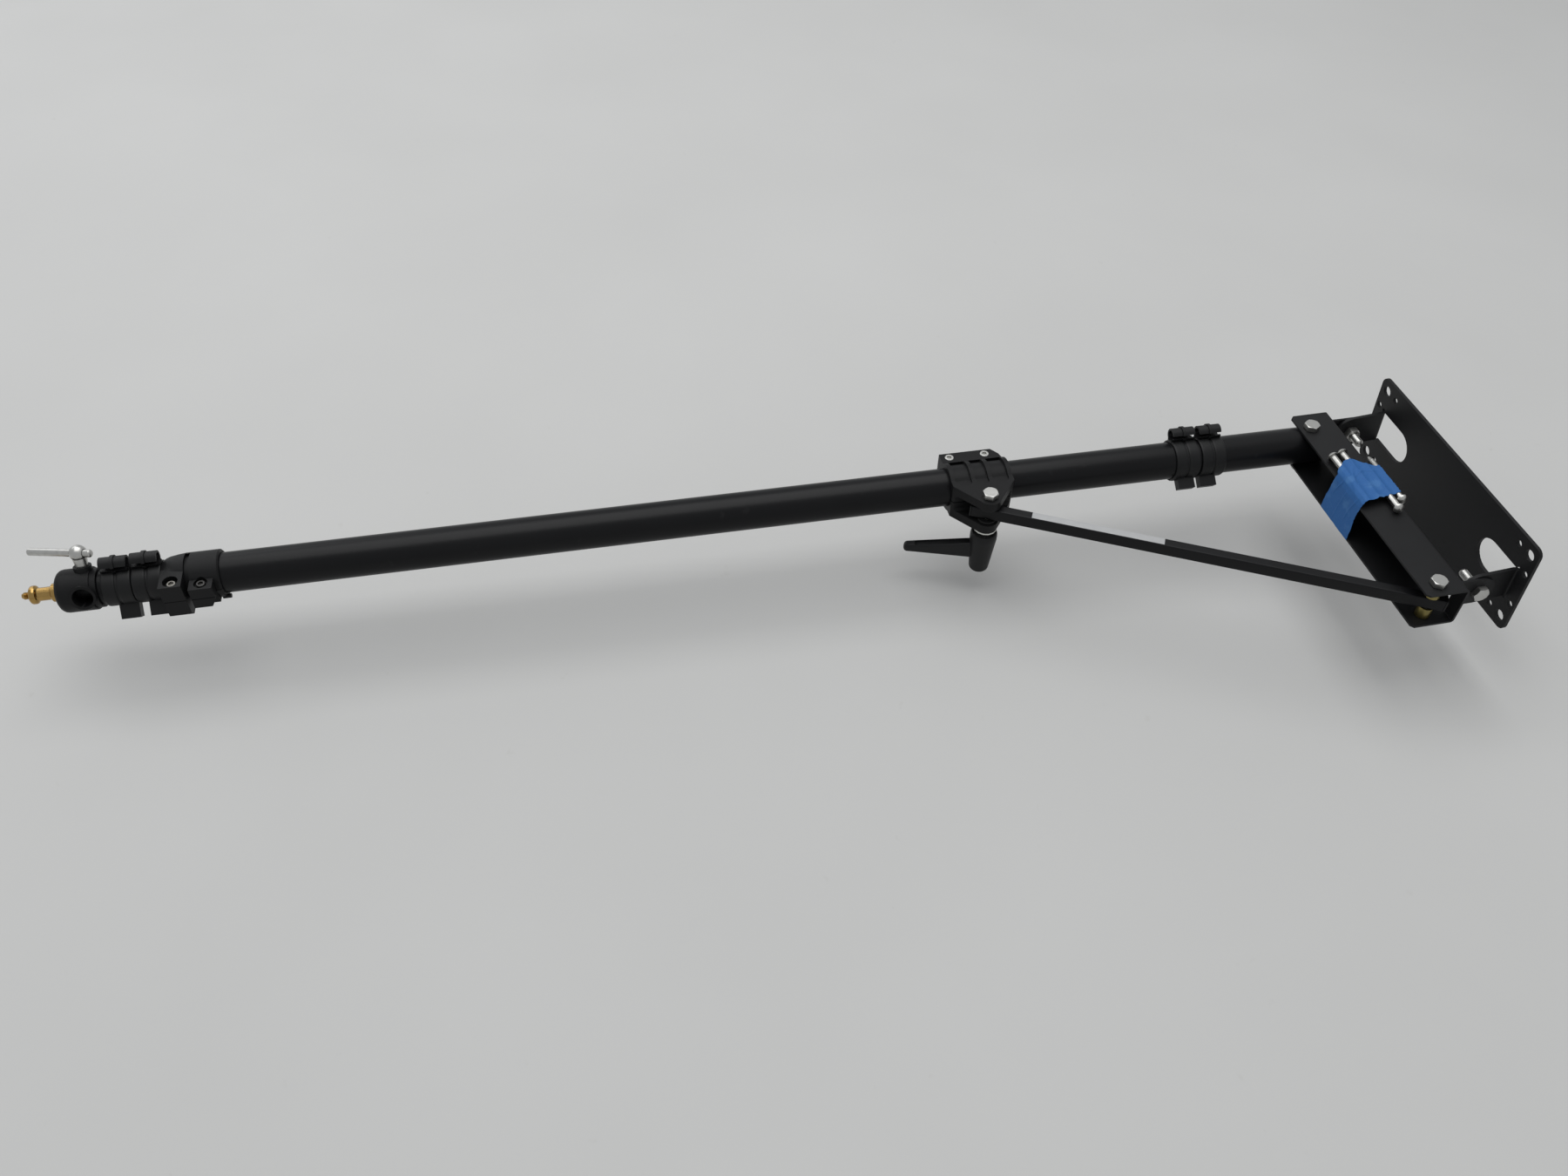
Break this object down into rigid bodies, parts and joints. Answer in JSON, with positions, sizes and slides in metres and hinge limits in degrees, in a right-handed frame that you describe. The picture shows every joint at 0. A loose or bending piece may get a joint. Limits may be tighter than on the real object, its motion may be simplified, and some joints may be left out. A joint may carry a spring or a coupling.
{
  "type": "wall mounted boom arm",
  "caption": "Wall mounted telescopic boom arm with a swivelling channel bracket, a sliding tilt clamp with its strut and lever, and a spigot socket.",
  "frame": {"origin": "centre of the wall plate's back face, on the wall", "axes": "+Y into the wall, +Z along the plate towards the boom pivot, +X across; the boom runs out of the wall along -Y"},
  "size_m": [0.1773, 1.2503, 0.2728],
  "materials": {
    "powder_black": "satin black powder coat",
    "satin_black_tube": "satin black coating on drawn tube",
    "cast_black": "black painted die casting",
    "plastic_black": "black moulded plastic",
    "zinc": "zinc plated steel",
    "black_oxide": "black oxide on steel",
    "yellow_zinc": "yellow plated steel",
    "brass": "turned brass",
    "nylon": "white nylon",
    "label_silver": "bare silver-white label film",
    "tape_blue": "blue masking tape, creased paper"
  },
  "bodies": {
    "wall_bracket": {"wall_plate": "powder_black"},
    "swivel_bracket": {"swivel_channel": "powder_black", "upper_swivel_bolt": "zinc", "upper_swivel_nut": "zinc", "lower_swivel_bolt": "zinc", "lower_swivel_nut": "zinc", "boom_pivot_bolt": "zinc", "boom_pivot_nut": "zinc", "strut_pivot_bolt": "zinc", "strut_pivot_nut": "zinc", "strut_spacer_upper": "yellow_zinc", "strut_spacer_lower": "yellow_zinc", "spare_screw_1": "zinc", "spare_screw_2": "zinc", "spare_screw_3": "zinc", "spare_screw_4": "zinc", "masking_tape": "tape_blue"},
    "outer_boom": {"outer_tube": "satin_black_tube", "rear_insert": "plastic_black", "guide_bush": "plastic_black", "lock_collar_upper": "cast_black", "lock_collar_lower": "cast_black", "lock_collar_screw_front": "zinc", "lock_collar_screw_rear": "black_oxide"},
    "inner_boom": {"inner_tube": "satin_black_tube", "rear_glide": "plastic_black", "end_socket": "cast_black", "socket_pin": "zinc"},
    "clamp": {"tilt_clamp_upper": "cast_black", "tilt_clamp_lower": "cast_black", "tilt_clamp_screw_front": "zinc", "tilt_clamp_screw_rear": "zinc", "clamp_bolt": "zinc", "strut_washer_upper": "nylon", "strut_washer_lower": "nylon", "lever_washer": "nylon"},
    "strut": {"strut_tube": "satin_black_tube", "strut_front_plug": "plastic_black", "strut_rear_plug": "plastic_black", "strut_label": "label_silver"},
    "lever": {"lever_handle": "plastic_black", "lever_insert": "zinc", "lever_screw": "zinc"},
    "screw": {"t_screw": "zinc"},
    "bar": {"t_bar": "zinc"},
    "stud": {"spigot": "brass"},
    "rear_clip_near": {"rear_cable_clip_near": "plastic_black"},
    "rear_clip_far": {"rear_cable_clip_far": "plastic_black"},
    "front_clip_near": {"front_cable_clip_near": "plastic_black"},
    "front_clip_far": {"front_cable_clip_far": "plastic_black"}
  },
  "joints": [
    {"name": "swivel", "type": "hinge", "parent": "wall_bracket", "child": "swivel_bracket", "pos_m": [0, -0.035, 0], "axis": [0, 0, 1], "range_deg": [-89.45, 80.55]},
    {"name": "boom_tilt", "type": "hinge", "parent": "swivel_bracket", "child": "outer_boom", "pos_m": [0.00411, -0.08784, 0.0985], "axis": [-0.997, -0.0776, 0], "range_deg": [-20, 30]},
    {"name": "clamp_slide", "type": "slide", "parent": "outer_boom", "child": "clamp", "axis": [-0.0776, 0.9969, -0.0161], "range_m": [-0.068, 0.102]},
    {"name": "strut_swing", "type": "hinge", "parent": "clamp", "child": "strut", "pos_m": [0.02996, -0.42002, 0.06505], "axis": [-0.997, -0.0776, 0], "range_deg": [-3, 3]},
    {"name": "lever_turn", "type": "hinge", "parent": "clamp", "child": "lever", "pos_m": [0.02996, -0.42002, 0.06505], "axis": [0.997, 0.0776, 0], "range_deg": [-180, 180]},
    {"name": "telescope", "type": "slide", "parent": "outer_boom", "child": "inner_boom", "axis": [0.0776, -0.9969, 0.0161], "range_m": [0, 0.85]},
    {"name": "t_screw_turn", "type": "hinge", "parent": "inner_boom", "child": "screw", "pos_m": [0.09046, -1.19734, 0.11637], "axis": [0.9364, 0.0784, 0.342], "range_deg": [-180, 180]},
    {"name": "t_bar_slide", "type": "slide", "parent": "screw", "child": "bar", "axis": [-0.0441, -0.9407, 0.3364], "range_m": [-0.036, 0.003]},
    {"name": "spigot_slide", "type": "slide", "parent": "inner_boom", "child": "stud", "axis": [0.0776, -0.9969, 0.0161], "range_m": [0, 0.028]},
    {"name": "rear_clip_near_turn", "type": "hinge", "parent": "outer_boom", "child": "rear_clip_near", "pos_m": [0.0121, -0.19052, 0.10015], "axis": [0.0776, -0.9969, 0.0161], "range_deg": [-180, 180]},
    {"name": "rear_clip_far_turn", "type": "hinge", "parent": "outer_boom", "child": "rear_clip_far", "pos_m": [0.01412, -0.21643, 0.10057], "axis": [0.0776, -0.9969, 0.0161], "range_deg": [-180, 180]},
    {"name": "front_clip_near_turn", "type": "hinge", "parent": "inner_boom", "child": "front_clip_near", "pos_m": [0.08652, -1.1467, 0.11556], "axis": [0.0776, -0.9969, 0.0161], "range_deg": [-180, 180]},
    {"name": "front_clip_far_turn", "type": "hinge", "parent": "inner_boom", "child": "front_clip_far", "pos_m": [0.08841, -1.17102, 0.11595], "axis": [0.0776, -0.9969, 0.0161], "range_deg": [-180, 180]}
  ],
  "couplings": [
    {"joint": "clamp_slide", "follows": "boom_tilt", "m_per_rad": 0.1917},
    {"joint": "strut_swing", "follows": "boom_tilt", "ratio": -0.076}
  ]
}
